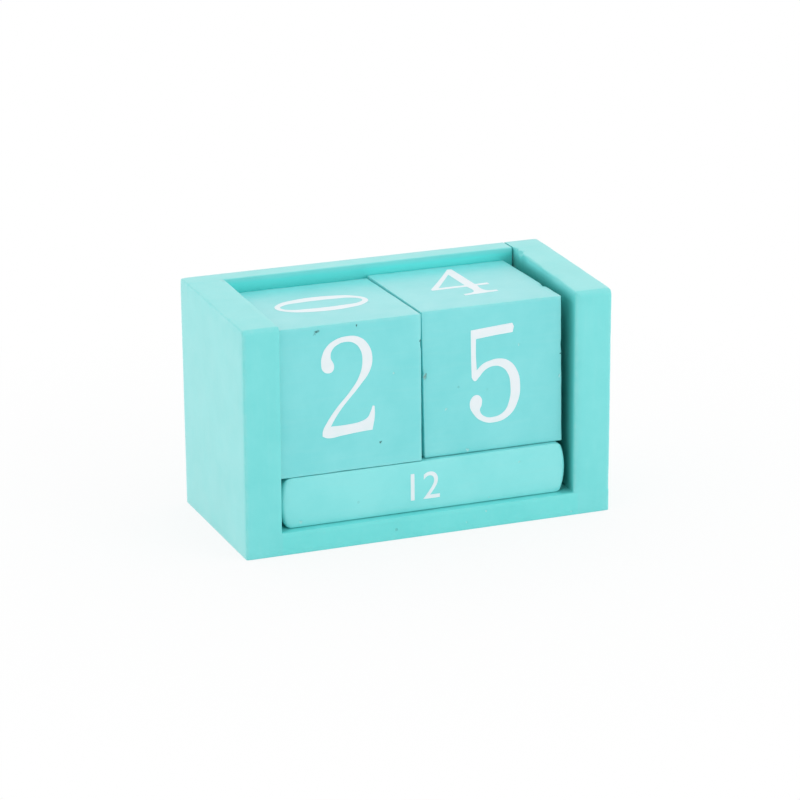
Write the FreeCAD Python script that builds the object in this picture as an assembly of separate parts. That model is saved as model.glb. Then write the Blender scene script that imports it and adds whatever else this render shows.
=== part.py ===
import FreeCAD, Part
import os

# A perpetual block calendar for a desk, in millimetres. A small open case, four boards nailed
# together and sanded as one, holds two date cubes on top of three month bars.
# Frame: +X to the reader's right, +Y to the back, +Z up. The origin is on the table under the
# middle of the case.

# Loose pieces
cube_side = 45.2             # a date cube, which carries one figure on each face
cube_edge_round = 0.4
bar_section = 15.4           # a square month bar, which carries one month on each long face
bar_end_crown = 1.7          # how far the middle of an end stands out past its corners
bar_corner_round = 0.6       # at the corners of an end, as seen from the front
bar_edge_round = 0.3
bar_names = ("month_bar_front", "month_bar_middle", "month_bar_rear")

# Play that lets the loose pieces lift and slide out
stack_play = 0.1             # under the bars, and again under the cubes
cube_left_play = 0.3
cube_gap = 0.4
cube_right_play = 3.5
tens_cube_setback = 2.5      # behind the front of the case
units_cube_setback = 4.2
cube_rear_play = 0.6         # behind the cube that stands further back
bar_left_play = 0.5
bar_right_play = 3.1
bar_setback = 2.5
bar_gap = 0.2
bar_rear_play = 0.9

# Case boards
left_side_thickness = 11.4
right_side_thickness = 11.0  # sanded a little further than the left
back_thickness = 7.3
base_thickness = 7.2
top_reveal = 3.5             # how far the case stands above the cubes
case_edge_round = 1.0
case_foot_round = 0.4        # along the edges that stand on the table
back_shrinkage = 0.2         # the back board is this much short of the right side board

# Brads, whose heads are set below the surface and filled over
brad_radius = 0.6
brad_length = 20.0
brad_head_radius = 0.95
brad_head_height = 0.8
brad_cover = 1.0             # filler and paint over each head
brad_end_margin = 11.0       # from the end of a joint to its nearest brad
back_brads = 3               # from the back board into the base

# Case, from what it holds
recess_width = cube_left_play + 2 * cube_side + cube_gap + cube_right_play
cube_row_depth = max(tens_cube_setback, units_cube_setback) + cube_side + cube_rear_play
bar_pitch = bar_section + bar_gap
bar_row_depth = bar_setback + len(bar_names) * bar_pitch - bar_gap + bar_rear_play
recess_depth = max(cube_row_depth, bar_row_depth)
bar_floor = base_thickness + stack_play
cube_floor = bar_floor + bar_section + stack_play
case_width = recess_width + left_side_thickness + right_side_thickness
case_depth = recess_depth + back_thickness
case_height = cube_floor + cube_side + top_reveal

# Planes of the case
left = -case_width / 2
right = case_width / 2
front = -case_depth / 2
rear = case_depth / 2
recess_left = left + left_side_thickness
recess_right = right - right_side_thickness
recess_rear = rear - back_thickness

X_AXIS = FreeCAD.Vector(1, 0, 0)
Y_AXIS = FreeCAD.Vector(0, 1, 0)


def block(x_range, y_range, z_range):
    """Box between two values on each axis."""
    corner = FreeCAD.Vector(x_range[0], y_range[0], z_range[0])
    size = [high - low for low, high in (x_range, y_range, z_range)]
    return Part.makeBox(*size, corner)


def same(a, b):
    return abs(a - b) < 1e-6


def on_case_outside(point):
    """True on the outer planes of the case, and false deep in the recess."""
    planes = ((point.x, left, right), (point.y, front, rear), (point.z, 0.0, case_height))
    return any(same(value, low) or same(value, high) for value, low, high in planes)


def sanded_case():
    """The four boards as one piece, sanded round above and only eased at the foot."""
    outside = block((left, right), (front, rear), (0.0, case_height))
    recess = block((recess_left, recess_right), (front, recess_rear), (base_thickness, case_height))
    case = outside.cut(recess)
    outward_edges = [edge for edge in case.Edges if on_case_outside(edge.CenterOfMass)]
    upper_edges = [edge for edge in outward_edges if not same(edge.CenterOfMass.z, 0.0)]
    thinnest = min(right_side_thickness, back_thickness, base_thickness)
    case = case.makeFillet(min(case_edge_round, thinnest / 3), upper_edges)
    foot_edges = [edge for edge in case.Edges if same(edge.CenterOfMass.z, 0.0)]
    return case.makeFillet(case_foot_round, foot_edges)


def brad(head, direction):
    """One brad with the middle of its head's outer face at head, driven along direction."""
    shank = Part.makeCylinder(brad_radius, brad_length, head, direction)
    cap = Part.makeCylinder(brad_head_radius, brad_head_height, head, direction)
    return shank.fuse(cap).removeSplitter()


def spread(low, high, count):
    """Evenly spaced places from low to high."""
    step = (high - low) / (count - 1)
    return [low + step * i for i in range(count)]


def side_brads(places):
    """A brad through each side board at every (y, z) place."""
    pins = []
    for y, z in places:
        pins.append(brad(FreeCAD.Vector(left + brad_cover, y, z), X_AXIS))
        pins.append(brad(FreeCAD.Vector(right - brad_cover, y, z), -X_AXIS))
    return pins


def side_to_base_brads():
    rows = spread(front + brad_end_margin, recess_rear - brad_end_margin, 2)
    return side_brads([(y, base_thickness / 2) for y in rows])


def side_to_back_brads():
    rows = spread(base_thickness + brad_end_margin, case_height - brad_end_margin, 2)
    return side_brads([(rear - back_thickness / 2, z) for z in rows])


def back_to_base_brads():
    reach = brad_cover + brad_length + brad_end_margin
    columns = spread(left + reach, right - reach, back_brads)
    return [brad(FreeCAD.Vector(x, rear - brad_cover, base_thickness / 2), -Y_AXIS) for x in columns]


def drilled(board, *brad_groups):
    """The board with a tight hole for each brad that enters it."""
    for group in brad_groups:
        board = board.cut(Part.makeCompound(group))
    return board


def case_boards(to_base, to_back, from_back):
    """The side, back and base boards, as the sanded case comes apart."""
    case = sanded_case()
    full_depth = (front, rear)
    full_height = (0.0, case_height)
    left_side = case.common(block((left, recess_left), full_depth, full_height))
    right_side = case.common(block((recess_right, right), full_depth, full_height))
    back_width = (recess_left, recess_right - back_shrinkage)
    back = case.common(block(back_width, (recess_rear, rear), full_height))
    base = case.common(block((recess_left, recess_right), (front, recess_rear), (0.0, base_thickness)))
    return {
        "left_side_board": drilled(left_side, to_base, to_back),
        "right_side_board": drilled(right_side, to_base, to_back),
        "back_board": drilled(back, to_back, from_back),
        "base_board": drilled(base, to_base, from_back),
    }


def date_cube(x, setback):
    """A date cube with its left face at x."""
    y = front + setback
    cube = block((x, x + cube_side), (y, y + cube_side), (cube_floor, cube_floor + cube_side))
    return cube.makeFillet(cube_edge_round, cube.Edges)


def month_bar(y):
    """A month bar with its front face at y: crowned ends as seen from the front, edges eased."""
    low, high = recess_left + bar_left_play, recess_right - bar_right_play
    floor, top = bar_floor, bar_floor + bar_section
    middle = (floor + top) / 2

    def at(x, z):
        return FreeCAD.Vector(x, y, z)

    low_foot, high_foot = at(low + bar_end_crown, floor), at(high - bar_end_crown, floor)
    low_top, high_top = at(low + bar_end_crown, top), at(high - bar_end_crown, top)
    outline = Part.Wire([
        Part.makeLine(low_foot, high_foot),
        Part.Arc(high_foot, at(high, middle), high_top).toShape(),
        Part.makeLine(high_top, low_top),
        Part.Arc(low_top, at(low, middle), low_foot).toShape(),
    ])
    bar = Part.Face(outline).extrude(FreeCAD.Vector(0, bar_section, 0))
    corner_edges = [edge for edge in bar.Edges
                    if same(edge.CenterOfMass.y, y + bar_section / 2)]
    bar = bar.makeFillet(bar_corner_round, corner_edges)
    rim_edges = [edge for edge in bar.Edges
                 if same(edge.CenterOfMass.y, y) or same(edge.CenterOfMass.y, y + bar_section)]
    return bar.makeFillet(bar_edge_round, rim_edges)


def all_nodes():
    """Every sub-part by node name."""
    to_base = side_to_base_brads()
    to_back = side_to_back_brads()
    from_back = back_to_base_brads()
    nodes = case_boards(to_base, to_back, from_back)
    nodes["side_to_base_brads"] = Part.makeCompound(to_base)
    nodes["side_to_back_brads"] = Part.makeCompound(to_back)
    nodes["back_to_base_brads"] = Part.makeCompound(from_back)
    tens_left = recess_left + cube_left_play
    nodes["tens_cube"] = date_cube(tens_left, tens_cube_setback)
    nodes["units_cube"] = date_cube(tens_left + cube_side + cube_gap, units_cube_setback)
    for index, name in enumerate(bar_names):
        nodes[name] = month_bar(front + bar_setback + index * bar_pitch)
    return nodes


os.makedirs("parts", exist_ok=True)
for node, shape in all_nodes().items():
    shape.exportStep(f"parts/{node}.step")
    box = shape.BoundBox
    print(f"{node}: {len(shape.Solids)} solid(s), {shape.Volume:.1f} mm3, valid {shape.isValid()}, "
          f"x {box.XMin:.2f}..{box.XMax:.2f}  y {box.YMin:.2f}..{box.YMax:.2f}  "
          f"z {box.ZMin:.2f}..{box.ZMax:.2f}")
print(f"case {case_width:.2f} x {case_depth:.2f} x {case_height:.2f}")
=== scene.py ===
"""Dresses the block calendar: the painted case, two date cubes, three month bars and their figures."""

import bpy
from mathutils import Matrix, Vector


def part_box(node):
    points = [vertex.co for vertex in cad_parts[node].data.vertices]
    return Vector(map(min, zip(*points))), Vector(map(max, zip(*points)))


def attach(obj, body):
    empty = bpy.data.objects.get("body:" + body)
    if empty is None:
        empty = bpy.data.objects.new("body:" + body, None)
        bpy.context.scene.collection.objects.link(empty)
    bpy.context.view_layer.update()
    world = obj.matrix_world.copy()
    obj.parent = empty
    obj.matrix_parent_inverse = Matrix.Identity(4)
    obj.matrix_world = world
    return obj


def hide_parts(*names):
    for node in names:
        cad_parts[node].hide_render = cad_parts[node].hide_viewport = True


bl_info = {
    "name": "Block Calendar Dresser",
    "version": (1, 0, 0),
    "blender": (4, 5, 0),
    "location": "3D View > Sidebar > Block Calendar",
    "description": "Models the painted wooden pieces of a block calendar over its CAD frame",
    "category": "Object",
}

import math

import bmesh
import bpy
import numpy as np
from bpy.props import FloatProperty, FloatVectorProperty, PointerProperty
from mathutils import Matrix, Vector

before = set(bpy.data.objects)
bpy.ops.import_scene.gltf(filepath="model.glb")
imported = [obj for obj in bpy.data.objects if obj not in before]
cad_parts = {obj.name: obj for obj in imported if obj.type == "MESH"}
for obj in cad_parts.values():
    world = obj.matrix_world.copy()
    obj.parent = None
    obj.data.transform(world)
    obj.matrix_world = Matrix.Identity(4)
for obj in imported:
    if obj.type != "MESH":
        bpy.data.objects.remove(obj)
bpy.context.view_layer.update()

MM = 0.001
MERGE = 0.001 * MM  # points nearer than this become one
NEAR = 1 * MM  # what is nearer than this to a plane of a block belongs to it
LONG = 5 * MM  # an edge that runs further than this along an axis follows it
X, Y, Z = range(3)

# The case's outer corners and the planes of its recess, from its CAD boards.
CASE_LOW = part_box("left_side_board")[0]
CASE_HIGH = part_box("right_side_board")[1]
MOUTH_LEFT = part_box("left_side_board")[1].x
MOUTH_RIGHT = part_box("right_side_board")[0].x
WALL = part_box("back_board")[0].y
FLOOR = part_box("base_board")[1].z

# The case is sawn this far outside its recess, so that each board keeps the skin of its faces.
SKIN = 0.05 * MM

# The right side board thickens above a ledge just under the floor, between two close cuts, and its
# worn slope reaches this far down from its top.
LEDGE_LOW, LEDGE, LEDGE_HIGH = 0.5 * MM, 0.47 * MM, 0.45 * MM
SLOPE_HEIGHT = 1.4 * MM

BARS = ("month_bar_front", "month_bar_middle", "month_bar_rear")
BRADS = ("side_to_base_brads", "side_to_back_brads", "back_to_base_brads")

# The faces of a block: the way its figure faces, and the way the figure's top points.
FRONT = ((0, -1, 0), (0, 0, 1))
BACK = ((0, 1, 0), (0, 0, 1))
TOP = ((0, 0, 1), (0, 1, 0))
TOP_LYING = ((0, 0, 1), (-1, 0, 0))
BOTTOM = ((0, 0, -1), (0, 1, 0))
LEFT = ((-1, 0, 0), (0, 0, 1))
RIGHT = ((1, 0, 0), (0, 0, 1))

CUBE_FIGURES = {
    "tens_cube": (("2", FRONT), ("0", TOP_LYING), ("1", RIGHT), ("6", BACK), ("7", LEFT), ("8", BOTTOM)),
    "units_cube": (("5", FRONT), ("4", TOP), ("0", RIGHT), ("1", BACK), ("2", LEFT), ("3", BOTTOM)),
}
BAR_MONTHS = {
    "month_bar_front": (("12", FRONT), ("9", TOP), ("10", BACK), ("11", BOTTOM)),
    "month_bar_middle": (("5", FRONT), ("6", TOP), ("7", BACK), ("8", BOTTOM)),
    "month_bar_rear": (("1", FRONT), ("2", TOP), ("3", BACK), ("4", BOTTOM)),
}

# Outlines of the figures in millimetres about the middle of a cube's face. The line runs smoothly
# through each point, and turns only at those marked SHARP.
SHARP = True
FIGURES = {
    "0": (
        ((0, 15.3), (4.9, 12.55), (7.26, 6.8), (7.96, 0.7), (7.26, -5.45), (4.9, -11.2), (0, -13.95),
         (-4.9, -11.2), (-7.26, -5.45), (-7.96, 0.7), (-7.26, 6.8), (-4.9, 12.55)),
        ((0, 13.65), (-2.95, 11.3), (-3.83, 6.3), (-4.13, 0.7), (-3.83, -4.95), (-2.95, -9.95),
         (0, -12.3), (2.95, -9.95), (3.83, -4.95), (4.13, 0.7), (3.83, 6.3), (2.95, 11.3)),
    ),
    "1": (
        ((0.6, 18.2, SHARP), (1.8, 18.5, SHARP), (1.8, -7.5), (2.5, -9.5), (5.75, -10.1, SHARP),
         (5.75, -11.4, SHARP), (-5.6, -11.4, SHARP), (-5.6, -10.1, SHARP), (-2.3, -9.5), (-1.6, -7.5),
         (-1.6, 12.25), (-2.4, 13.7), (-5.4, 13.6, SHARP), (-5.5, 14.6, SHARP), (-1.9, 16.1)),
    ),
    "2": (
        ((-7, 7.95), (-8.6, 8.75), (-9.2, 11.1), (-8.85, 13.5), (-7.5, 15.9), (-5, 17.65), (-1, 18.5),
         (2.75, 17.85), (5.5, 15.5), (6.9, 11.5), (6.2, 7.5), (3, 3.2), (-2.5, -2.75), (-4.9, -5.9),
         (-6.4, -8.35, SHARP), (-1, -8.35), (3.5, -7.8), (5.3, -6.9), (6.2, -5.3), (6.9, -3.5, SHARP),
         (7.5, -3.65, SHARP), (7.55, -6.5), (6.8, -10.85, SHARP), (2.5, -11.05), (-2.5, -11.45),
         (-7.5, -11.75), (-9, -11.1, SHARP), (-8.9, -9.5), (-7.5, -6.9), (-4.9, -3.4), (0, 1.9),
         (2.75, 6), (3.8, 10.5), (3.1, 14.1), (1.25, 16.15), (-1.25, 16.85), (-3.9, 16.3),
         (-5.75, 14.75), (-6.2, 12.6), (-5.15, 10), (-5.6, 8.45)),
    ),
    "3": (
        ((-7.9, 11.5), (-6.9, 15.4), (-4.4, 17.6), (-0.5, 18.5), (3.5, 17.6), (6, 15), (6.5, 11.4),
         (5.3, 7.8), (2.4, 5.2, SHARP), (5.9, 3.4), (8.25, 0), (8.6, -4.75), (7.2, -9.5), (3.9, -12.9),
         (-0.5, -14.1), (-5.1, -13), (-7.7, -10.25), (-8.3, -7.65), (-7.4, -5.6), (-5.6, -5),
         (-4.2, -6.2), (-4.1, -8.2), (-4.7, -10), (-3.1, -11.9), (-0.25, -12.45), (3, -10.9),
         (4.9, -7.5), (5.3, -3.5), (4.4, 0.9), (1.7, 3.7), (-2.5, 4.2, SHARP), (-2.5, 5.4, SHARP),
         (0.6, 6), (2.7, 8), (3.35, 11.4), (2.5, 15), (-0.2, 16.9), (-2.9, 16.4), (-4.6, 14.7),
         (-4.2, 12.9), (-4.2, 10.9), (-5.3, 9.6), (-6.9, 9.8)),
    ),
    "4": (
        ((2.25, 18.6, SHARP), (3.55, 18.3, SHARP), (3.7, -0.25, SHARP), (7.8, -0.15, SHARP),
         (7.8, -1.95, SHARP), (3.7, -1.95, SHARP), (3.75, -7), (4.75, -8.35), (7.35, -8.7, SHARP),
         (7.35, -10.1, SHARP), (2, -10.5), (-3.7, -10.9, SHARP), (-3.7, -9.5, SHARP), (-0.7, -8.8),
         (0.4, -7.5), (0.4, -1.95, SHARP), (-10.9, -2.05, SHARP), (-10.9, -1, SHARP), (-4, 9)),
        ((0.4, 13.1, SHARP), (0.4, -0.25, SHARP), (-8.15, -0.25, SHARP), (-3.5, 6.9)),
    ),
    "5": (
        ((-6.9, 15.15, SHARP), (-0.5, 15.6), (6.5, 16.05, SHARP), (7, 14.9, SHARP), (6.55, 13.2, SHARP),
         (0.5, 12.85), (-5.3, 12.35, SHARP), (-5.4, 7.5), (-5.2, 2.7, SHARP), (-3.25, 4.4), (-1, 5.2),
         (1.75, 5.55), (5, 4.65), (7.65, 1.75), (8.85, -3.25), (7.85, -8.9), (5.15, -12.5),
         (0.5, -14.05), (-3.9, -13.1), (-6.75, -10.25), (-7.6, -7.85), (-6.85, -5.6), (-5.15, -4.95),
         (-3.8, -6.1), (-3.75, -8.1), (-4.35, -9.75), (-3, -11.75), (0.25, -12.35), (3.5, -11.1),
         (5.3, -7.75), (5.7, -3.25), (4.9, 0.6), (2.9, 2.8), (0.25, 3.45), (-2.5, 2.5), (-4.6, 0.4),
         (-5.85, -0.55), (-6.85, 0.6, SHARP), (-6.95, 7.5)),
    ),
    "6": (
        ((6.4, 14), (5.6, 16.7), (3.1, 18.2), (0, 18.5), (-3.9, 16.9), (-7.1, 12.5), (-8.8, 6.5),
         (-9.2, 0), (-8.4, -6.5), (-6, -11.1), (-2.9, -13.4), (0.1, -14.05), (3.9, -13), (7, -9.8),
         (8.4, -5.5), (8.3, -1.5), (6.8, 2.2), (3.9, 4.4), (0.5, 5.1), (-3.1, 4.3), (-5.7, 1.9, SHARP),
         (-5.3, 7), (-3.7, 12.5), (-1.5, 15.7), (0.8, 16.95), (2.5, 16.6), (3.2, 15.4), (3, 13.9),
         (3.6, 12.5), (5, 12.3)),
        ((0, 3.5), (-3.1, 2.4), (-5.2, -0.5), (-5.7, -4.75), (-4.9, -9), (-2.7, -11.7), (0.1, -12.45),
         (2.9, -11.5), (4.8, -8.5), (5.3, -4.5), (4.7, -0.5), (2.9, 2.4)),
    ),
    "7": (
        ((-7.4, 18.3, SHARP), (7.8, 18.3, SHARP), (7.8, 16.9, SHARP), (4.9, 12), (1.8, 5.5),
         (-0.2, -0.5), (-0.8, -6), (-0.8, -11.5, SHARP), (-4.4, -11.5, SHARP), (-3.8, -5.5), (-1.9, 1),
         (1.1, 7.5), (5.3, 15.1, SHARP), (-3, 15.2), (-5.6, 14.1), (-7.2, 10.9, SHARP),
         (-8.3, 10.9, SHARP)),
    ),
    "8": (
        ((0, 18.5), (4, 17.5), (6.3, 14.5), (6.1, 10.7), (3.1, 6.4, SHARP), (6.8, 2.5), (8.7, -2),
         (8.5, -7), (5.9, -11.7), (0, -14.05), (-5.9, -12.2), (-8.5, -8), (-8.6, -3.5), (-7, 0.7),
         (-3.6, 3.9, SHARP), (-6.6, 8), (-7.4, 12.7), (-5.7, 16.7)),
        ((-0.2, 16.9), (-2.9, 15.8), (-4.2, 12.7), (-3, 9.4), (1.5, 6.8, SHARP), (3.2, 10.5),
         (3.5, 13.5), (2.5, 16)),
        ((-1.9, 2.7, SHARP), (-4.5, 0.1), (-5.4, -3.75), (-4.9, -8), (-3, -11.1), (0, -12.45),
         (3.5, -11.1), (5.4, -7.3), (4.9, -2.5), (2.1, 0.3)),
    ),
}

# Dents in the wood of each piece, as place, push and reach in millimetres.
DENTS = {
    "sanded_case": (((58.5, -28.65, 69.9), (-0.12, 0.15, -0.15), 2.4),),
    "painted_right_side_board": (
        ((47.6, 16.0, 71.0), (0.75, 0, -0.1), 1.7), ((47.6, 19.2, 71.2), (0.4, 0, -0.1), 1.1),
        ((46.7, -13.0, 70.3), (0.35, 0, -0.3), 2.4), ((45.9, -27.6, 69.9), (0.3, 0, -0.5), 1.3),
    ),
    "painted_tens_cube": (((-1.9, -26.15, 59.2), (-0.3, 0.2, 0), 1.6),),
    "painted_units_cube": (
        ((44.0, -10.7, 68.0), (-0.3, 0, -0.4), 2.0), ((43.8, -24.45, 53.6), (-0.3, 0.1, 0), 1.6),
        ((-1.1, -24.45, 48.6), (0.35, 0.3, 0), 1.9),
    ),
}

# Marks in each paint, as place and radius in millimetres.
MARKS = {
    "case_paint": {
        "chips": (((10.9, -28.65, 2.6), 0.5), ((17.4, -28.65, 5.2), 0.45), ((45.2, -28.65, 1.2), 0.45)),
    },
    "tens_cube_paint": {
        "chips": (((-10.5, -26.15, 51.1), 0.45),),
        "shaded_pits": (((-34.8, -26.15, 66.5), 0.6), ((-34.1, -26.15, 66.8), 0.45), ((-35.2, -26.15, 65.9), 0.5),
                 ((-22.1, -26.15, 67.1), 0.35), ((-2.1, -26.15, 60.1), 0.5), ((-15.2, -26.15, 30.5), 0.35)),
    },
    "units_cube_paint": {
        "chips": (((29.7, -24.45, 54.6), 0.5), ((13.1, -24.45, 23.8), 0.6), ((6.4, -24.45, 37.4), 0.45),
                  ((43.1, -24.45, 43.4), 0.55)),
        "bare": (((-0.3, -24.45, 48.4), 0.9),),
        "shaded_pits": (((43.6, -24.45, 50.4), 0.4), ((43.8, -24.45, 60.7), 0.4)),
    },
    "bar_paint": {
        "chips": (((29.3, -26.15, 18.5), 0.4), ((-40.6, -26.15, 8.8), 0.5), ((19.5, -26.15, 8.7), 0.4)),
    },
}


def srgb(red, green, blue):
    """A colour written as 0 to 255, as Blender's linear values."""
    values = []
    for level in (red / 255, green / 255, blue / 255):
        values.append(level / 12.92 if level <= 0.04045 else ((level + 0.055) / 1.055) ** 2.4)
    return tuple(values)


# Each kind of mark: how strongly its colour shows, that colour, and its share of the full depth.
MARK_KINDS = {
    "chips": (0.6, srgb(186, 234, 232), 0.4),
    "bare": (0.7, srgb(134, 142, 122), 1.0),
    # The pits' dark teal is painted shade in the hollows of small dents.
    "shaded_pits": (0.95, srgb(38, 112, 108), 1.0),
}
SPECK_COLOUR = srgb(76, 162, 160)
THIN_FIGURE_COLOUR = srgb(222, 243, 244)
STEEL_COLOUR = srgb(176, 178, 180)
OXIDE_COLOUR = srgb(118, 108, 98)

# What a thick and a thin coat make of the paint's red, green and blue.
THICK_COAT = (0.87, 0.965, 0.965)
THIN_COAT = (1.03, 1.005, 1.005)

# Soft patterns in the finishes: the scale, detail and roughness of the noise, the range of it that
# counts, and what the ends of that range give.
PATTERNS = {
    "clouds": (70, 5, 0.6, 0.36, 0.64, 0.0, 1.0),
    "breaks_in_wear": (420, 3, 0.5, 0.38, 0.62, 0.25, 1.0),
    "satin": (160, 3, 0.5, 0.3, 0.7, 0.30, 0.40),
    "thin_figure": (260, 3, 0.5, 0.4, 0.7, 0.0, 0.3),
    "figure_gloss": (900, 2, 0.5, 0.3, 0.7, 0.45, 0.6),
    "oxide": (480, 3, 0.5, 0.5, 0.75, 0.0, 0.6),
}

# How finely the brush strokes repeat along each axis, in strokes to the metre.
ALONG_X = (60, 700, 700)
ALONG_Y = (700, 60, 700)
ALONG_Z = (700, 700, 60)

# The stage, in metres and degrees.
LIGHT_AIM = (0, 0, 0.03)
LIGHT_SIZE = 0.8
TENT_OPENING = (-0.336, -0.882, 0.329)
CAMERA_PLACE = (-0.36567, -0.959126, 0.357709)
CAMERA_AZIMUTH = 20.929
CAMERA_ELEVATION = 17.506
CAMERA_ROLL = -0.654


# ---------------- settings


def length(name, description, value, least=0.0):
    """A length given in millimetres."""
    return FloatProperty(
        name=name, description=description, default=value * MM, min=least * MM, unit="LENGTH")


def lengths(name, description, *values):
    """A few lengths given in millimetres, which may be negative."""
    return FloatVectorProperty(
        name=name, description=description, default=[value * MM for value in values],
        size=len(values), unit="LENGTH")


def tint(name, description, *levels):
    """A colour given as red, green and blue from 0 to 255."""
    return FloatVectorProperty(
        name=name, description=description, default=srgb(*levels), size=3, min=0, max=1,
        subtype="COLOR")


def amount(name, description, value, unit="NONE"):
    return FloatProperty(name=name, description=description, default=value, min=0, unit=unit)


class CaseSettings(bpy.types.PropertyGroup):
    edge_round: length("Edge rounding", "Radius sanded on the case's outer edges", 0.7, 0.1)
    brow_round: length("Brow rounding", "Radius of the outer edges over the front of the sides", 1.5, 0.1)
    rear_round: length("Rear rounding", "Radius of the upright and top edges at the back", 0.6, 0.1)
    rim_round: length("Rim rounding", "Radius of the crisp edges round the recess", 0.35, 0.1)
    mouth_round: length(
        "Right mouth rounding", "Radius of the softer front edge inside the right side", 2.0, 0.1)
    foot_round: length("Foot rounding", "Radius eased on the edges that stand on the table", 0.3, 0.1)
    top_fall: length("Top fall", "How far sanding has brought the sides down from back to front", 1.6)
    left_rack: length("Left rack", "How far the left side's upper front corner is sanded inwards", 0.45)
    right_rack: length("Right rack", "How far the right side's lower front corner is sanded inwards", 0.6)
    taper_low: length(
        "Taper at the floor", "Extra thickness of the right side, low at its front edge", 1.45)
    taper_high: length(
        "Taper at the top", "Extra thickness of the right side, high at its front edge", 0.9)
    taper_left: length("Left taper", "Extra thickness of the left side at its top", 0.45)
    seam: length("Open seam", "How much the painted back board has drawn away from the right side", 0.35)
    lean: length("Worn slope", "How far the top of the right side's inner face is worn back", 0.45)


class CubeSettings(bpy.types.PropertyGroup):
    edge_round: length("Edge rounding", "Radius sanded on the edges of a date cube", 0.35, 0.1)
    tens_left: lengths("Tens left", "Shift of the tens cube's left side at its bottom and top", 0, 0.3)
    tens_right: lengths(
        "Tens right", "Shift of the tens cube's right side at its bottom and top", -0.4, -0.25)
    tens_crown: lengths("Tens top", "Rise of the tens cube's top at its front and back", 0.3, -0.3)
    units_left: lengths(
        "Units left", "Shift of the units cube's left side at its bottom and top", 0.6, -0.05)
    units_right: lengths(
        "Units right", "Shift of the units cube's right side at its bottom and top", 0, -0.25)
    units_crown: lengths("Units top", "Rise of the units cube's top at its front and back", 0.3, 0.05)


class BarSettings(bpy.types.PropertyGroup):
    crown: length("End crown", "How far the middle of a bar's end stands out past its corners", 1.4)
    corner_round: length("Corner rounding", "Radius of a bar's corners seen from the front", 1.7, 0.1)
    rim_round: length(
        "Rim rounding", "Radius round the ends of a month bar's front and back faces", 1.2, 0.1)
    long_round: length("Long edge rounding", "Radius along the long edges of a month bar", 0.25, 0.1)


class FigureSettings(bpy.types.PropertyGroup):
    proud: length("Paint height", "How far a painted figure stands above its face", 0.03)
    depth: length("Paint depth", "Whole thickness of a painted figure", 0.12, 0.01)
    month_height: length("Month figure height", "Height of the plain numbers on the month bars", 8.4, 1)
    colour: tint("Figure colour", "Colour of the painted figures", 240, 246, 250)


class PaintSettings(bpy.types.PropertyGroup):
    case_colour: tint("Case colour", "Colour of the satin paint on the case", 118, 226, 225)
    # The base board's paint is a little less red than the case's.
    base_colour: tint(
        "Base colour", "Colour of the paint on the base board, a little fresher", 112, 228, 226)
    cube_colour: tint("Cube colour", "Colour of the chalkier paint on the date cubes", 125, 225, 227)
    bar_colour: tint("Bar colour", "Colour of the paint on the month bars", 136, 233, 233)
    # Along the edges, this lighter colour is partly worn paint and partly a painted highlight.
    rubbed: tint("Rubbed colour", "Colour of the paint along handled edges", 154, 229, 228)
    # Painted shade: deeper in the recess, the inner faces of the side boards turn to this darker colour.
    recess_shade_colour: tint(
        "Recess colour", "Colour of the thicker paint inside the sides of the recess", 78, 190, 184)
    # Painted light: below its top, the back wall's inner face turns to this lighter, more saturated colour.
    wall_light_colour: tint(
        "Wall colour", "Colour of the fresh paint on the back wall of the recess", 101, 243, 240)
    waviness: length("Waviness", "Depth of the slow waves left by sanding by hand", 0.04)
    wear: length("Edge wear", "Greatest depth that handling has taken from an edge", 0.2)
    cut_spacing: length(
        "Cut spacing", "Distance between the cuts that let a surface follow its wear", 1.9, 0.5)


class StageSettings(bpy.types.PropertyGroup):
    key_power: amount("Key light", "Power of the soft light from the front right", 4.6, "POWER")
    side_power: amount("Side light", "Power of the soft light from the left", 1.6, "POWER")
    sky: amount("Surrounding light", "Strength of the even light from all round", 0.98)
    opening: amount("Tent opening", "Strength of the light where the tent is open at the front", 0.1)
    lens: FloatProperty(
        name="Lens", description="Focal length on a 36 mm wide sensor, in millimetres",
        default=159.90, min=1)


SETTINGS = {
    "calendar_case": CaseSettings,
    "calendar_cubes": CubeSettings,
    "calendar_bars": BarSettings,
    "calendar_figures": FigureSettings,
    "calendar_paint": PaintSettings,
    "calendar_stage": StageSettings,
}


def settings(name):
    """One group of the calendar's settings."""
    return getattr(bpy.context.scene, "calendar_" + name)


# ---------------- modelling by hand


def deselect():
    """Leave object mode with nothing selected."""
    active = bpy.context.view_layer.objects.active
    if active and active.mode != "OBJECT":
        close()
    bpy.ops.object.select_all(action="DESELECT")


def take(piece):
    """Select one piece alone and make it active."""
    deselect()
    piece.select_set(True)
    bpy.context.view_layer.objects.active = piece


def edit(piece):
    """Open a piece in edit mode with all of it selected."""
    take(piece)
    bpy.ops.object.mode_set(mode="EDIT")
    bpy.ops.mesh.select_all(action="SELECT")


def close():
    bpy.ops.object.mode_set(mode="OBJECT")


def rename(piece, name):
    piece.name = name
    piece.data.name = name
    return piece


def add_block(name, low, high):
    """A block between two corners, its place in its mesh."""
    deselect()
    bpy.ops.mesh.primitive_cube_add(size=1, location=(low + high) / 2)
    bpy.context.object.scale = high - low
    bpy.ops.object.transform_apply()
    return rename(bpy.context.object, name)


def copy_piece(piece, name, move=(0, 0, 0)):
    """A copy of a piece with its own mesh, moved within its mesh."""
    take(piece)
    bpy.ops.object.duplicate(linked=False)
    bpy.ops.transform.translate(value=move)
    bpy.ops.object.transform_apply()
    return rename(bpy.context.object, name)


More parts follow.
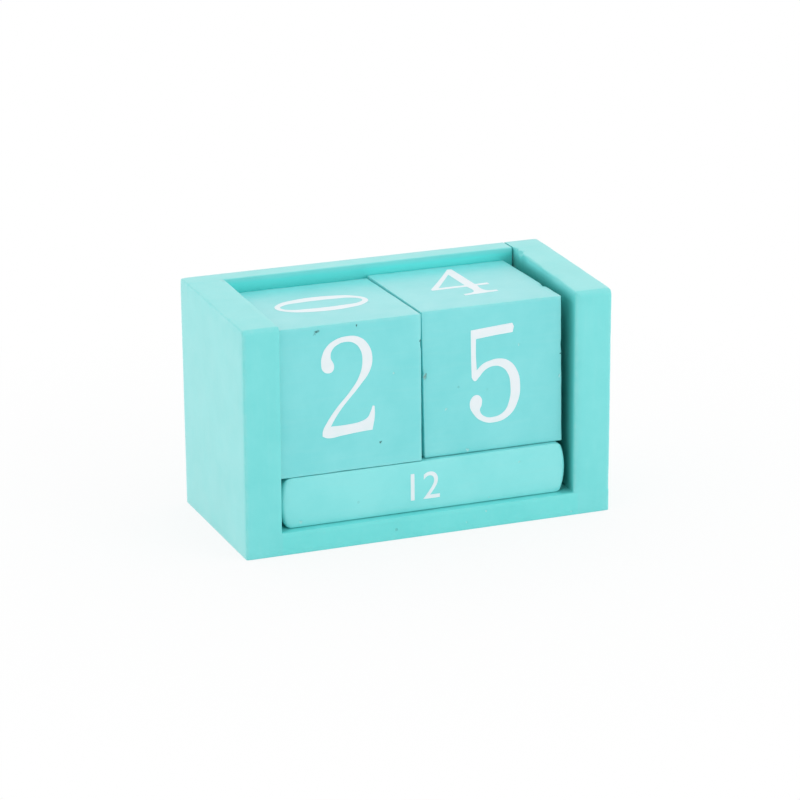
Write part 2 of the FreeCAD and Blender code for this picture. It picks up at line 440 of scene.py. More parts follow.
def pick(piece, kind, wanted):
    """Select, in edit mode, only the faces or the points that pass the test."""
    bpy.ops.mesh.select_all(action="DESELECT")
    bpy.ops.mesh.select_mode(type=kind)
    mesh = bmesh.from_edit_mesh(piece.data)
    for part in mesh.faces if kind == "FACE" else mesh.verts:
        part.select_set(wanted(part))
    if kind == "VERT":
        mesh.select_flush(True)
    bmesh.update_edit_mesh(piece.data)


def plane(axis, place, slope=0.0):
    """A plane across an axis, as bisect takes it. One across Z may rise to the back by a slope."""
    point = Vector()
    point[axis] = place
    normal = Vector((0, -slope, 0))
    normal[axis] = 1
    return {"plane_co": point, "plane_no": normal, "threshold": MERGE}


def cut(axis, place, slope=0.0):
    """Lay one cut all round the piece that is open in edit mode."""
    bpy.ops.mesh.select_all(action="SELECT")
    bpy.ops.mesh.bisect(**plane(axis, place, slope))


def trim(piece, axis, place, keep):
    """Saw a piece off at a plane, keep what is "above" or "below" it, and close the sawn face."""
    edit(piece)
    bpy.ops.mesh.bisect(**plane(axis, place), use_fill=True, clear_inner=keep == "above",
                        clear_outer=keep == "below")
    close()


def sharp_edges(piece):
    """The outward edges of a piece that turn by more than about half a right angle."""
    least_turn = 0.8
    mesh = bmesh.new()
    mesh.from_mesh(piece.data)
    ends = []
    for edge in mesh.edges:
        if edge.is_manifold and edge.is_convex and edge.calc_face_angle(0) > least_turn:
            ends.append((edge.index, edge.verts[0].co.copy(), edge.verts[1].co.copy()))
    mesh.free()
    return ends


def apply_modifier(piece, modifier):
    take(piece)
    bpy.ops.object.modifier_apply(modifier=modifier.name)


def round_edges(piece, radius_of):
    """Round the outward edges, each by the radius that its ends ask for, and list the wider ones."""
    ends = sharp_edges(piece)
    radii = [radius_of(start, end) for index, start, end in ends]
    widest = max(radii)
    weights = piece.data.attributes.new("bevel_weight_edge", "FLOAT", "EDGE")
    for (index, start, end), radius in zip(ends, radii):
        weights.data[index].value = radius / widest
    bevel = piece.modifiers.new("Sanded edges", "BEVEL")
    bevel.limit_method = "WEIGHT"
    bevel.width = widest
    bevel.segments = 4
    apply_modifier(piece, bevel)
    leftover = piece.data.attributes.get("bevel_weight_edge")
    if leftover:
        piece.data.attributes.remove(leftover)
    least_worn = 0.3 * widest
    return [(start, end) for (index, start, end), radius in zip(ends, radii) if radius > least_worn]


def lay_cuts(piece, stops):
    """Lay even cuts between the given stops along each axis."""
    spacing = settings("paint").cut_spacing
    edit(piece)
    for axis in (X, Y, Z):
        for low, high in zip(stops[axis], stops[axis][1:]):
            count = max(1, round((high - low) / spacing))
            for step in range(1, count):
                cut(axis, low + (high - low) * step / count)
    close()


def ease(share):
    """A share from 0 to 1 that starts and ends gently."""
    return share * share * (3 - 2 * share)


def between(pair, share):
    return pair[0] + (pair[1] - pair[0]) * share


def places(piece):
    """The place of each point of a piece, to be changed where it stands."""
    return (vertex.co for vertex in piece.data.vertices)


def mark_wear(piece, edges, reach):
    """Store how near each point lies to a worn edge, from 0 to 1, for shaping and for the paint."""
    count = len(piece.data.vertices)
    points = np.empty(count * 3)
    piece.data.vertices.foreach_get("co", points)
    points = points.reshape(-1, 3)
    nearest = np.full(count, 1.0)
    for start, end in edges:
        start = np.array(start)
        along = np.array(end) - start
        share = np.clip((points - start) @ along / (along @ along), 0, 1)
        distance = np.linalg.norm(points - start - share[:, None] * along, axis=1)
        nearest = np.minimum(nearest, distance)
    worn = ease(np.clip(1 - nearest / reach, 0, 1))
    mark = piece.data.attributes.new("worn", "FLOAT", "POINT")
    mark.data.foreach_set("value", worn)
    group = piece.vertex_groups.new(name="worn")
    for index, share in enumerate(worn):
        group.add([index], float(share), "REPLACE")


def sand(piece, radius_of, stops, reach):
    """Round a piece's edges, cut its faces finely enough to wear, and mark the wear."""
    worn = round_edges(piece, radius_of)
    lay_cuts(piece, stops)
    mark_wear(piece, worn, reach)


def displace(piece, name, texture, size, detail, **options):
    """Push a piece's surface in and out by a cloud texture that stays in the piece."""
    clouds = bpy.data.textures.new(texture, "CLOUDS")
    clouds.noise_scale = size
    clouds.noise_depth = detail
    modifier = piece.modifiers.new(name, "DISPLACE")
    modifier.texture = clouds
    modifier.texture_coords = "LOCAL"
    for key, value in options.items():
        setattr(modifier, key, value)
    apply_modifier(piece, modifier)


def weather(piece, wear_share=1.0):
    """Sink the faces a little in slow waves, and take more from the worn edges."""
    paint = settings("paint")
    displace(piece, "Sanding waves", "sanding", size=14 * MM, detail=1,
             mid_level=1.0, strength=paint.waviness)
    displace(piece, "Rubbed edges", "rubbing", size=5 * MM, detail=2,
             mid_level=0.85, strength=paint.wear * wear_share, vertex_group="worn")


def dent(piece):
    """Press a piece's small dents into the points that lie within their reach."""
    for middle, push, reach in DENTS[piece.name]:
        middle = Vector(middle) * MM
        push = Vector(push) * MM
        for place in places(piece):
            distance = (place - middle).length / (reach * MM)
            if distance < 1:
                place += push * (1 - distance * distance) ** 2
    piece.data.update()


def smooth(piece):
    """Smooth the roundings and keep the corners that are sharper."""
    take(piece)
    bpy.ops.object.shade_smooth_by_angle(angle=math.radians(40))


def cover(piece, material):
    piece.data.materials.clear()
    piece.data.materials.append(material)


def seat(piece, material, body, slot, *nodes):
    """Cover a piece, let it ride on its body, and stand for its CAD nodes. Its slot is not used."""
    cover(piece, material)
    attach(piece, body)
    if nodes:
        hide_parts(*nodes)


# ---------------- finishes


class Nodes:
    """A node tree, built step by step."""

    def __init__(self, tree):
        self.tree = tree

    def add(self, kind, inputs=None, **options):
        node = self.tree.nodes.new(kind)
        for key, value in options.items():
            setattr(node, key, value)
        return self.feed(node, inputs or {})

    def feed(self, node, inputs):
        """Give each of a node's inputs its link or its value."""
        for key, value in inputs.items():
            if isinstance(value, bpy.types.NodeSocket):
                self.tree.links.new(value, node.inputs[key])
            else:
                node.inputs[key].default_value = value
        return node

    def ramp(self, value, low, high, to_low=0.0, to_high=1.0):
        node = self.add("ShaderNodeMapRange", {
            "Value": value, "From Min": low, "From Max": high, "To Min": to_low, "To Max": to_high})
        return node.outputs["Result"]

    def math(self, operation, first, second):
        node = self.add("ShaderNodeMath", {0: first, 1: second}, operation=operation)
        return node.outputs["Value"]

    def vector(self, operation, first, second=(0.0, 0.0, 0.0)):
        node = self.add("ShaderNodeVectorMath", {0: first, 1: second}, operation=operation)
        return node.outputs["Value" if operation in ("DISTANCE", "LENGTH") else "Vector"]

    def seen_directly(self):
        """One where a camera, a reflection or a see-through ray meets the surface."""
        path = self.add("ShaderNodeLightPath")
        seen = self.math("MAXIMUM", path.outputs["Is Camera Ray"], path.outputs["Is Glossy Ray"])
        return self.math("MAXIMUM", seen, path.outputs["Is Transmission Ray"])


class Finish(Nodes):
    """The nodes of one material."""

    def __init__(self, name):
        self.material = bpy.data.materials.new(name)
        self.material.use_nodes = True
        super().__init__(self.material.node_tree)
        self.shader = self.tree.nodes["Principled BSDF"]
        self.place = self.add("ShaderNodeTexCoord").outputs["Object"]

    def attribute(self, name):
        return self.add("ShaderNodeAttribute", attribute_name=name).outputs["Fac"]

    def stretch(self, scale):
        return self.add("ShaderNodeMapping", {"Vector": self.place, "Scale": scale}).outputs["Vector"]

    def noise(self, scale, detail, roughness=0.5, place=None, output="Fac"):
        node = self.add("ShaderNodeTexNoise", {
            "Vector": self.place if place is None else place,
            "Scale": scale, "Detail": detail, "Roughness": roughness})
        return node.outputs[output]

    def pattern(self, name):
        scale, detail, roughness, *span = PATTERNS[name]
        return self.ramp(self.noise(scale, detail, roughness), *span)

    def mix(self, share, first, second):
        node = self.add("ShaderNodeMix", {"Factor": share, 6: first, 7: second}, data_type="RGBA")
        return node.outputs[2]

    def bump(self, height, distance, strength, below=None):
        inputs = {"Height": height, "Distance": distance, "Strength": strength}
        if below is not None:
            inputs["Normal"] = below
        return self.add("ShaderNodeBump", inputs).outputs["Normal"]

    def spots(self, place, spots):
        """The greatest nearness to any of the spots, each a place and a radius in millimetres."""
        core = 0.45
        found = None
        for spot, radius in spots:
            distance = self.vector("DISTANCE", place, [value * MM for value in spot])
            near = self.ramp(distance, radius * MM, radius * MM * core)
            found = near if found is None else self.math("MAXIMUM", found, near)
        return found


def opaque(shade):
    return (*shade, 1.0)


def painted_wood(name, shade, grain, recess=None):
    """Satin paint over sanded wood, brushed along its grain, with its specks, wear and marks."""
    rubbed_and_highlight_shade = opaque(settings("paint").rubbed)
    finish = Finish(name)
    thick, thin = (opaque(level * share for level, share in zip(shade, coat))
                   for coat in (THICK_COAT, THIN_COAT))
    colour = finish.mix(finish.pattern("clouds"), thick, thin)
    # Painted shade and light: deeper in the recess the paint turns to the recess colour, darker on the
    # sides and lighter on the back wall.
    if recess is not None:
        colour = finish.mix(finish.attribute("sheltered"), colour, opaque(recess))

    strokes = finish.noise(1, 4, 0.6, finish.stretch(grain))
    colour = finish.mix(finish.ramp(strokes, 0.5, 0.78, 0.0, 0.14), colour, rubbed_and_highlight_shade)
    # Lighter along the worn edges: partly worn paint, partly a painted highlight along the edges.
    worn = finish.ramp(finish.attribute("worn"), 0.45, 0.95, 0.0, 0.35)
    worn = finish.math("MULTIPLY", worn, finish.pattern("breaks_in_wear"))
    colour = finish.mix(worn, colour, rubbed_and_highlight_shade)

    cells = finish.add("ShaderNodeTexVoronoi", {"Vector": finish.place, "Scale": 95})
    chance = finish.add("ShaderNodeSeparateColor", {"Color": cells.outputs["Color"]}).outputs["Red"]
    specks = finish.math("MULTIPLY", finish.ramp(chance, 0.86, 0.88),
                         finish.ramp(cells.outputs["Distance"], 0.055, 0.03))
    speck_strength, speck_depth, raggedness = 0.35, 0.4, 1.6 * MM
    colour = finish.mix(finish.math("MULTIPLY", specks, speck_strength), colour, opaque(SPECK_COLOUR))
    height = finish.math("MULTIPLY", specks, -speck_depth)

    drift = finish.vector("SUBTRACT", finish.noise(700, 3, output="Color"), (0.5, 0.5, 0.5))
    drift = finish.vector("MULTIPLY", drift, [raggedness] * 3)
    ragged_place = finish.vector("ADD", finish.place, drift)
    marks = MARKS.get(name, {})
    for kind, (strength, below, depth) in MARK_KINDS.items():
        if kind in marks:
            found = finish.spots(ragged_place, marks[kind])
            colour = finish.mix(finish.math("MULTIPLY", found, strength), colour, opaque(below))
            height = finish.math("SUBTRACT", height, finish.math("MULTIPLY", found, depth))

    relief = finish.bump(strokes, 0.05 * MM, 0.15)
    relief = finish.bump(finish.noise(1100, 2), 0.02 * MM, 0.3, relief)
    relief = finish.bump(height, 0.35 * MM, 0.8, relief)
    finish.feed(finish.shader, {
        "Base Color": colour,
        "Roughness": finish.pattern("satin"),
        "Normal": relief,
        "Coat Weight": 0.7,
        "Coat Roughness": 0.3,
    })
    return finish.material


def figure_paint():
    """Thin white paint that lets a trace of the colour below show at its rims."""
    white = opaque(settings("figures").colour)
    finish = Finish("white_figure_paint")
    finish.feed(finish.shader, {
        "Base Color": finish.mix(finish.pattern("thin_figure"), white, opaque(THIN_FIGURE_COLOUR)),
        "Roughness": finish.pattern("figure_gloss"),
        "Normal": finish.bump(finish.noise(1500, 2), 0.02 * MM, 0.4),
    })
    return finish.material


def brad_steel():
    """Drawn steel with fine lines along the shank and a little oxide."""
    finish = Finish("brad_steel")
    lines = finish.noise(2600, 3, 0.7)
    finish.feed(finish.shader, {
        "Base Color": finish.mix(finish.pattern("oxide"), opaque(STEEL_COLOUR), opaque(OXIDE_COLOUR)),
        "Metallic": 1.0,
        "Roughness": finish.ramp(lines, 0.3, 0.7, 0.28, 0.5),
        "Normal": finish.bump(lines, 0.02 * MM, 0.5),
    })
    return finish.material


# ---------------- the case


def case_top(y):
    """The height of the case's top at a place along its depth, once the sides are sanded down."""
    fall = settings("case").top_fall
    return CASE_HIGH.z - fall * (CASE_HIGH.y - y) / (CASE_HIGH.y - CASE_LOW.y)


def hollow_case():
    """The case in one piece, its recess pushed in from the front and opened above."""
    case = add_block("sanded_case", CASE_LOW, CASE_HIGH)
    edit(case)
    for axis, place in ((X, MOUTH_LEFT), (X, MOUTH_RIGHT), (Y, WALL), (Z, FLOOR)):
        cut(axis, place)

    def in_recess(face, low):
        middle = face.calc_center_median()
        return MOUTH_LEFT < middle.x < MOUTH_RIGHT and middle.y < WALL and middle.z > low

    pick(case, "FACE", lambda face: in_recess(face, FLOOR) and face.normal.y < -0.9)
    bpy.ops.mesh.extrude_region_move(TRANSFORM_OT_translate={"value": (0, WALL - CASE_LOW.y, 0)})
    pick(case, "FACE", lambda face: in_recess(face, CASE_HIGH.z - NEAR))
    bpy.ops.mesh.delete(type="FACE")
    bpy.ops.mesh.select_all(action="SELECT")
    bpy.ops.mesh.remove_doubles(threshold=0.01 * MM)
    bpy.ops.mesh.normals_make_consistent(inside=False)
    close()
    return case


def slant_sides(case):
    """Sand the tops of the sides down to the front, and one front corner of each side inwards."""
    edit(case)
    pick(case, "VERT", lambda point: point.co.y < CASE_LOW.y + NEAR and point.co.z > CASE_HIGH.z - NEAR)
    bpy.ops.transform.translate(value=(0, 0, -settings("case").top_fall))
    close()
    for place in places(case):
        up = (place.z - CASE_LOW.z) / (CASE_HIGH.z - CASE_LOW.z)
        forward = (CASE_HIGH.y - place.y) / (CASE_HIGH.y - CASE_LOW.y)
        if place.x < CASE_LOW.x + NEAR:
            place.x += settings("case").left_rack * up * forward
        if place.x > CASE_HIGH.x - NEAR:
            place.x -= settings("case").right_rack * (1 - up) * forward


def case_radius(start, end):
    """The radius sanded on one outward edge of the case."""
    case = settings("case")
    middle = (start + end) / 2
    upright = abs(start.z - end.z) > LONG
    in_front = middle.y < CASE_LOW.y + NEAR
    if middle.z < NEAR:
        return case.foot_round
    if middle.y > CASE_HIGH.y - NEAR:
        return case.rear_round
    if in_front and upright and abs(middle.x - MOUTH_RIGHT) < NEAR:
        return case.mouth_round
    if MOUTH_LEFT - NEAR < middle.x < MOUTH_RIGHT + NEAR:
        return case.rim_round
    return case.edge_round if upright or not in_front else case.brow_round


def mark_recess_depth(board, reach):
    """Store how deep each point of the recess lies behind its mouth, from 0 to 1, for the painted shade and
    painted light of the recess.
    """
    slack = 0.3 * MM
    # A strip just under the top keeps the plain paint, and the painted shade or light grows below it.
    light_strip, full_depth = 0.301 * reach, 1.001 * reach
    mark = board.data.attributes.new("sheltered", "FLOAT", "POINT")
    for place, value in zip(places(board), mark.data):
        inside = (MOUTH_LEFT - slack < place.x < MOUTH_RIGHT + slack
                  and place.y < WALL + slack and place.z > FLOOR - slack)
        behind = (place.y - CASE_LOW.y) / reach
        below = (case_top(place.y) - place.z - light_strip) / (full_depth - light_strip)
        below = ease(min(max(below, 0), 1))
        value.value = max(min(behind, below), 0) if inside else 0


def seam_place():
    """Where the back board ends, short of the right side board."""
    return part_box("back_board")[1].x - settings("case").seam


def open_seam(board):
    """Draw the back board away from the right side, most at its front, and ease the seam's edges."""
    end = seam_place()
    slack, drawn, eased = 0.01 * MM, 0.25 * MM, 0.15 * MM
    edit(board)
    pick(board, "VERT", lambda point: point.co.x > end - slack and point.co.y < WALL)
    bpy.ops.transform.translate(value=(-drawn, 0, 0))
    pick(board, "VERT", lambda point: point.co.x > end - drawn - slack
         and (point.co.y < WALL or point.co.z > CASE_HIGH.z - eased))
    bpy.ops.mesh.bevel(offset=eased, segments=2)
    close()


def taper(board, outer, inner, start, wall, at_floor, at_top, to_front):
    """Thicken a side board above the start and before the wall, evenly or only towards the front."""
    inward = 1 if inner > outer else -1
    for place in places(board):
        if place.z < start or place.y > wall:
            continue
        height = (place.z - start) / (CASE_HIGH.z - start)
        reach = (wall - place.y) / (wall - CASE_LOW.y) if to_front else 1
        depth = (place.x - outer) / (inner - outer)
        place.x += inward * between((at_floor, at_top), height) * reach * depth


def shape_left_board(board):
    """Thicken the left side board towards its top."""
    edit(board)
    cut(Z, FLOOR - SKIN)
    cut(Y, WALL - SKIN)
    close()
    taper(board, CASE_LOW.x, MOUTH_LEFT, FLOOR - 0.5 * SKIN, WALL - 0.5 * SKIN,
          at_floor=0, at_top=settings("case").taper_left, to_front=False)


def close_mouth(board):
    """Draw the round of the right side board's front edge in where it meets the floor."""
    height, width, most = 3 * MM, 2.2 * MM, 0.9
    for place in places(board):
        rise = max(place.z - FLOOR, 0) / height
        aside = place.x - MOUTH_RIGHT
        if place.z > FLOOR - LEDGE_LOW and rise < 1 and 0 < aside < width:
            place.x -= aside * most * (1 - rise)


def lean_back(board):
    """Wear the top of the right side board's inner face back in an uneven slope."""
    lean = settings("case").lean
    width = 3 * MM
    for place in places(board):
        down = 1 - (case_top(place.y) - place.z) / SLOPE_HEIGHT
        across = 1 - (place.x - MOUTH_RIGHT) / width
        if down <= 0 or across <= 0 or place.y > WALL:
            continue
        wave = 0.8 + 0.25 * math.sin(place.y / (3.4 * MM)) + 0.2 * math.sin(place.y / (1.3 * MM) + 1)
        place.x += lean * min(down, 1) * min(across, 1) * wave


def shape_right_board(board):
    """Thicken the right side board towards its front, and give it its worn slope and its dents."""
    case = settings("case")
    dent_cuts, first_dent_cut, dent_cut_spacing = 12, 10.5, 0.9
    edit(board)
    cut(Z, FLOOR - LEDGE_LOW)
    cut(Z, FLOOR - LEDGE_HIGH)
    for share in (0.5, 1):
        cut(Z, case_top(0) - share * SLOPE_HEIGHT, slope=case.top_fall / (CASE_HIGH.y - CASE_LOW.y))
    for step in range(dent_cuts):
        cut(Y, (first_dent_cut + dent_cut_spacing * step) * MM)
    close()
    close_mouth(board)
    taper(board, CASE_HIGH.x, MOUTH_RIGHT, FLOOR - LEDGE, WALL,
          at_floor=case.taper_low, at_top=case.taper_high, to_front=True)
    lean_back(board)
    dent(board)


class CALENDAR_OT_case(bpy.types.Operator):
    """Model the sanded case in one, then saw it into its four boards"""

    bl_idname = "calendar.make_case"
    bl_label = "Case boards"

    def execute(self, context):
        case = hollow_case()
        slant_sides(case)
        stops = ((CASE_LOW.x, MOUTH_LEFT, MOUTH_RIGHT, CASE_HIGH.x),
                 (CASE_LOW.y, WALL, CASE_HIGH.y), (CASE_LOW.z, FLOOR, CASE_HIGH.z))
        sand(case, case_radius, stops, reach=2.4 * MM)
        weather(case)
        dent(case)
        paint = settings("paint")
        case_paint = painted_wood("case_paint", paint.base_colour, ALONG_Y)
        # The wall paint lightens the back wall of the recess as painted light, and the side paint darkens
        # the sides as painted shade.
        wall_paint = painted_wood("wall_paint", paint.case_colour, ALONG_X, paint.wall_light_colour)
        side_paint = painted_wood("side_paint", paint.case_colour, ALONG_Z, paint.recess_shade_colour)
        in_from_left, in_from_right = MOUTH_LEFT + SKIN, MOUTH_RIGHT - SKIN
        before_wall, over_floor = WALL - SKIN, FLOOR + SKIN
        boards = {
            "left_side_board": (side_paint, shape_left_board, ((X, in_from_left, "below"),)),
            "right_side_board": (side_paint, shape_right_board, ((X, in_from_right, "above"),)),
            "back_board": (wall_paint, open_seam, (
                (X, in_from_left, "above"), (X, seam_place(), "below"), (Y, before_wall, "above"))),
            "base_board": (case_paint, None, (
                (X, in_from_left, "above"), (X, in_from_right, "below"),
                (Y, before_wall, "below"), (Z, over_floor, "below"))),
        }
        for name, (material, shape, saw_cuts) in boards.items():
            board = copy_piece(case, "painted_" + name)
            for axis, place, keep in saw_cuts:
                trim(board, axis, place, keep)
            mark_recess_depth(board, reach=1.6 * MM if name == "back_board" else 4 * MM)
            if shape:
                shape(board)
            smooth(board)
            seat(board, material, "case", "case_paint", name)
        bpy.data.objects.remove(case)
        return {"FINISHED"}


# ---------------- the loose blocks


def out_of_true(piece, node):
    """Draw three sides of a date cube out of square, as a rough saw leaves them, and the rest in step."""
    low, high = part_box(node)
    left, right, crown = (getattr(settings("cubes"), node.replace("cube", side))
                          for side in ("left", "right", "crown"))
    for place in places(piece):
        across, back, up = ((place[axis] - low[axis]) / (high[axis] - low[axis]) for axis in (X, Y, Z))
        place.x += between(left, up) * (1 - across)
        place.x += between(right, up) * across
        place.z += between(crown, back) * up


class CALENDAR_OT_cubes(bpy.types.Operator):
    """Model one date cube, copy it, and wear each in its own places"""

    bl_idname = "calendar.make_cubes"
    bl_label = "Date cubes"

    def execute(self, context):
        low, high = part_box("tens_cube")
        tens = add_block("painted_tens_cube", low, high)
        edge_round = settings("cubes").edge_round
        sand(tens, lambda start, end: edge_round, tuple(zip(low, high)), reach=1.8 * MM)
        units = copy_piece(tens, "painted_units_cube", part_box("units_cube")[0] - low)
        for node, cube in (("tens_cube", tens), ("units_cube", units)):
            weather(cube)
            dent(cube)
            out_of_true(cube, node)
            smooth(cube)
            material = painted_wood(node + "_paint", settings("paint").cube_colour, ALONG_X)
            seat(cube, material, node, "cube_paint", node)
        return {"FINISHED"}


def crown_ends(bar, low, high):
    """Curve both ends of a bar outward between its top and bottom."""
    crown = settings("bars").crown
    half = (high.z - low.z) / 2
    radius = (half * half + crown * crown) / (2 * crown)
    edit(bar)
    for tenth in range(2, 9):
        cut(Z, low.z + (high.z - low.z) * tenth / 10)
    close()
    for place in places(bar):
        rise = place.z - low.z - half
        back = radius - math.sqrt(radius * radius - rise * rise)
        place.x += back if place.x < 0 else -back


def bar_radius(start, end):
    """The radius sanded on one outward edge of a month bar."""
    bars = settings("bars")
    if abs(start.y - end.y) > NEAR:
        return bars.corner_round
    return bars.long_round if abs(start.x - end.x) > LONG else bars.rim_round


class CALENDAR_OT_bars(bpy.types.Operator):
    """Model one crowned month bar and copy it twice"""

    bl_idname = "calendar.make_bars"
    bl_label = "Month bars"

    def execute(self, context):
        low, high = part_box(BARS[0])
        first = add_block("painted_" + BARS[0], low, high)
        crown_ends(first, low, high)
        sand(first, bar_radius, tuple(zip(low, high)), reach=1.6 * MM)
        material = painted_wood("bar_paint", settings("paint").bar_colour, ALONG_X)
        pieces = [first]
        for name in BARS[1:]:
            pieces.append(copy_piece(first, "painted_" + name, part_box(name)[0] - low))
        for name, piece in zip(BARS, pieces):
            weather(piece, wear_share=0.6)
            smooth(piece)
            seat(piece, material, name, "bar_paint", name)
        return {"FINISHED"}


# ---------------- the figures


def lay_on_face(piece, low, high, face):
    """Lay a flat figure on one face of the block between two corners."""
    outward = Vector(face[0])
    upward = Vector(face[1])
    rightward = upward.cross(outward)
    middle = (low + high) / 2
    half = (high - low) / 2
    proud = settings("figures").proud
    point = middle + Vector(outward[axis] * (half[axis] + proud) for axis in (X, Y, Z))
    turn = Matrix((rightward, upward, outward)).transposed().to_4x4()
    take(piece)
    piece.matrix_world = Matrix.Translation(point) @ turn
    bpy.ops.object.transform_apply()


def make_solid(piece):
    """Turn a flat outline into a closed sheet of paint whose upper face stays where it was."""
    take(piece)
    bpy.ops.object.convert(target="MESH")
    edit(piece)
    bpy.ops.mesh.remove_doubles(threshold=MERGE)
    down = (0, 0, -settings("figures").depth)
    bpy.ops.mesh.extrude_region_move(TRANSFORM_OT_translate={"value": down})
    bpy.ops.mesh.select_all(action="SELECT")
    bpy.ops.mesh.normals_make_consistent(inside=False)
    close()


def cube_figure(figure, name):
    """One figure of the date cubes, drawn flat about the origin."""
    deselect()
    bpy.ops.curve.primitive_bezier_circle_add(radius=10 * MM)
    piece = bpy.context.object
    piece.name = name
    drawing = piece.data
    drawing.dimensions = "2D"
    drawing.fill_mode = "BOTH"
    drawing.resolution_u = 7
    drawing.splines.clear()
    for outline in FIGURES[figure]:
        spline = drawing.splines.new("BEZIER")
        spline.bezier_points.add(len(outline) - 1)
        spline.use_cyclic_u = True
        for point, (across, up, *sharp) in zip(spline.bezier_points, outline):
            point.co = (across * MM, up * MM, 0)
            kind = "VECTOR" if sharp else "AUTO"
            point.handle_left_type = kind
            point.handle_right_type = kind
    make_solid(piece)
    return piece


def month_number(figure, name):
    """One plain number of the month bars, drawn flat about the origin."""
    deselect()
    bpy.ops.object.text_add()
    piece = bpy.context.object
    piece.name = name
    words = piece.data
    words.body = figure
    words.align_x = "CENTER"
    words.align_y = "CENTER"
    words.size = 12 * MM
    words.resolution_u = 6
    make_solid(piece)
    heights = [place.y for place in places(piece)]
    across = [place.x for place in places(piece)]
    grow = settings("figures").month_height / (max(heights) - min(heights))
    centre = Vector(((max(across) + min(across)) / 2, (max(heights) + min(heights)) / 2, 0))
    take(piece)
    piece.scale = (grow, grow, 1)
    piece.location = -centre * grow
    bpy.ops.object.transform_apply()
    return piece


def paint_faces(node, figures, draw, kind):
    """Draw a block's figures on its faces and join them into one piece."""
    low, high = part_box(node)
    drawn = []
    for figure, face in figures:
        drawn.append(draw(figure, f"{node}_{kind}_{figure}"))
        lay_on_face(drawn[-1], low, high, face)
    deselect()
    for piece in drawn:
        piece.select_set(True)
    bpy.context.view_layer.objects.active = drawn[0]
    bpy.ops.object.join()
    return rename(bpy.context.object, f"{node}_{kind}s")


class CALENDAR_OT_cube_figures(bpy.types.Operator):
    """Paint six figures on each date cube"""

    bl_idname = "calendar.make_cube_figures"
    bl_label = "Cube figures"

    def execute(self, context):
        material = figure_paint()
        for node, figures in CUBE_FIGURES.items():
            whole = paint_faces(node, figures, cube_figure, "figure")
            out_of_true(whole, node)
            seat(whole, material, node, "cube_paint")
        return {"FINISHED"}


class CALENDAR_OT_month_numbers(bpy.types.Operator):
    """Paint the twelve month numbers on the faces of the bars"""

    bl_idname = "calendar.make_month_numbers"
    bl_label = "Month numbers"

    def execute(self, context):
        material = figure_paint()
        for node, months in BAR_MONTHS.items():
            whole = paint_faces(node, months, month_number, "number")
            seat(whole, material, node, "bar_paint")
        return {"FINISHED"}


class CALENDAR_OT_brads(bpy.types.Operator):
    """Give the hidden brads their steel"""

    bl_idname = "calendar.finish_brads"
    bl_label = "Brads"

    def execute(self, context):
        steel = brad_steel()
        for name in BRADS:
            cover(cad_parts[name], steel)
        return {"FINISHED"}


# ---------------- the stage


def lay_ground():
    """A pale floor that the camera sees as white further off."""
    deselect()
    bpy.ops.mesh.primitive_plane_add(size=8, location=(0, 0, -0.02 * MM))
    ground = bpy.context.object
    ground.name = "studio_floor"
    bpy.ops.object.transform_apply()
    finish = Finish("studio_floor")
    finish.feed(finish.shader, {
        "Base Color": (0.93, 0.93, 0.93, 1.0), "Roughness": 0.9, "Specular IOR Level": 0.1})
    glow = finish.add("ShaderNodeEmission", {"Color": (1.0, 1.0, 1.0, 1.0), "Strength": 1.0})
    near, far = 0.07, 0.22
    far_off = finish.ramp(finish.vector("LENGTH", finish.place), near, far, 0.85, 1.0)
    share = finish.math("MULTIPLY", finish.seen_directly(), far_off)
    blend = finish.add("ShaderNodeMixShader", {
        0: share, 1: finish.shader.outputs["BSDF"], 2: glow.outputs["Emission"]})
    finish.feed(finish.tree.nodes["Material Output"], {"Surface": blend.outputs["Shader"]})
    cover(ground, finish.material)


def light_tent():
    """Even light from all round, weaker from the tent's opening, and white where it is seen."""
    stage = settings("stage")
    world = bpy.data.worlds.new("soft_tent")
    world.use_nodes = True
    bpy.context.scene.world = world
    nodes = Nodes(world.node_tree)
    toward = nodes.add("ShaderNodeTexCoord").outputs["Generated"]
    near, far = 0.25, 0.6
    tent = nodes.ramp(nodes.vector("DISTANCE", toward, TENT_OPENING), near, far, stage.opening, stage.sky)
    nodes.feed(nodes.tree.nodes["Background"], {
        "Color": (1.0, 1.0, 1.0, 1.0),
        "Strength": nodes.ramp(nodes.seen_directly(), 0.0, 1.0, tent, 1.0),
    })


def area_light(name, place, power):
    deselect()
    bpy.ops.object.light_add(type="AREA", location=place)
    lamp = bpy.context.object
    lamp.name = name
    lamp.data.shape = "DISK"
    lamp.data.size = LIGHT_SIZE
    lamp.data.energy = power
    lamp.rotation_euler = (Vector(LIGHT_AIM) - Vector(place)).to_track_quat("-Z", "Y").to_euler()
    lamp.visible_glossy = False


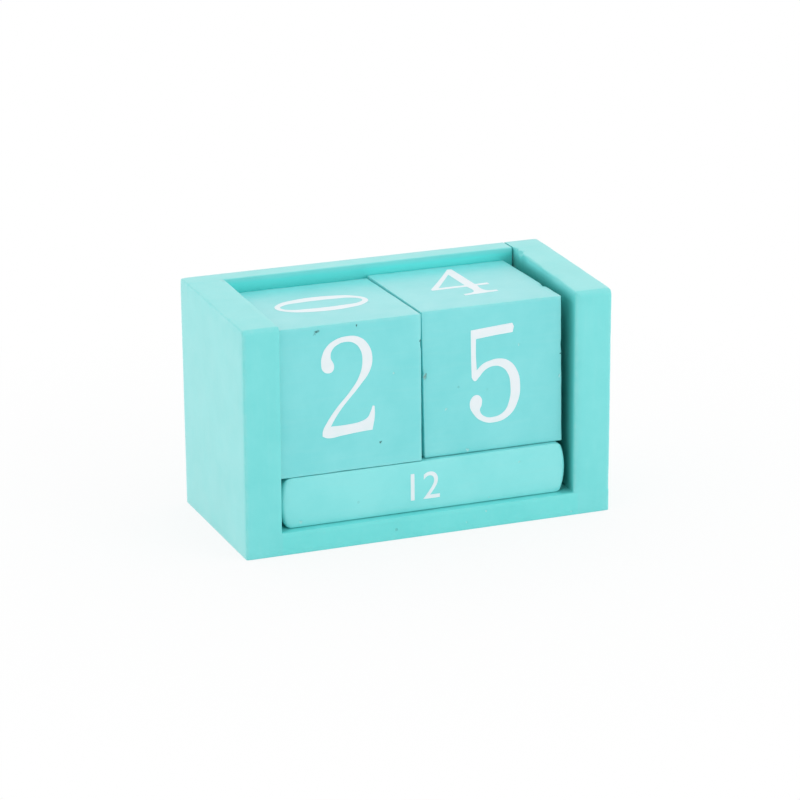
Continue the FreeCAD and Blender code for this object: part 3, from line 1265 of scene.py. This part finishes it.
def set_camera():
    deselect()
    bpy.ops.object.camera_add(location=CAMERA_PLACE)
    camera = bpy.context.object
    camera.name = "camera"
    azimuth = math.radians(CAMERA_AZIMUTH)
    elevation = math.radians(CAMERA_ELEVATION)
    ahead = Vector((math.sin(azimuth) * math.cos(elevation),
                    math.cos(azimuth) * math.cos(elevation), -math.sin(elevation)))
    level = ahead.to_track_quat("-Z", "Y").to_matrix().to_4x4()
    roll = Matrix.Rotation(math.radians(CAMERA_ROLL), 4, "Z")
    camera.matrix_world = Matrix.Translation(camera.location) @ level @ roll
    camera.data.sensor_width = 36
    camera.data.lens = settings("stage").lens
    camera.data.clip_start = 0.01
    bpy.context.scene.camera = camera


class CALENDAR_OT_stage(bpy.types.Operator):
    """Lay the pale floor, hang the soft lights and set up the camera"""

    bl_idname = "calendar.set_stage"
    bl_label = "Stage"

    def execute(self, context):
        lay_ground()
        light_tent()
        area_light("key_light", (0.9, -1.2, 0.5), settings("stage").key_power)
        area_light("side_light", (-1.3, 0.1, 0.45), settings("stage").side_power)
        set_camera()
        context.scene.view_settings.view_transform = "Standard"
        return {"FINISHED"}


OPERATORS = (
    CALENDAR_OT_case,
    CALENDAR_OT_cubes,
    CALENDAR_OT_bars,
    CALENDAR_OT_cube_figures,
    CALENDAR_OT_month_numbers,
    CALENDAR_OT_brads,
    CALENDAR_OT_stage,
)


class VIEW3D_PT_block_calendar(bpy.types.Panel):
    bl_label = "Block Calendar"
    bl_idname = "VIEW3D_PT_block_calendar"
    bl_space_type = "VIEW_3D"
    bl_region_type = "UI"
    bl_category = "Block Calendar"

    def draw(self, context):
        layout = self.layout
        for operator in OPERATORS:
            layout.operator(operator.bl_idname)
        for name in SETTINGS:
            group = getattr(context.scene, name)
            box = layout.box()
            for key in group.__annotations__:
                box.prop(group, key)


CLASSES = (*SETTINGS.values(), *OPERATORS, VIEW3D_PT_block_calendar)


def register():
    for kind in CLASSES:
        bpy.utils.register_class(kind)
    for name, group in SETTINGS.items():
        setattr(bpy.types.Scene, name, PointerProperty(type=group))


def unregister():
    for name in SETTINGS:
        delattr(bpy.types.Scene, name)
    for kind in reversed(CLASSES):
        bpy.utils.unregister_class(kind)


def main():
    register()
    bpy.ops.calendar.set_stage()
    bpy.ops.calendar.make_case()
    bpy.ops.calendar.make_cubes()
    bpy.ops.calendar.make_bars()
    bpy.ops.calendar.make_cube_figures()
    bpy.ops.calendar.make_month_numbers()
    bpy.ops.calendar.finish_brads()


if __name__ == "__main__":
    main()
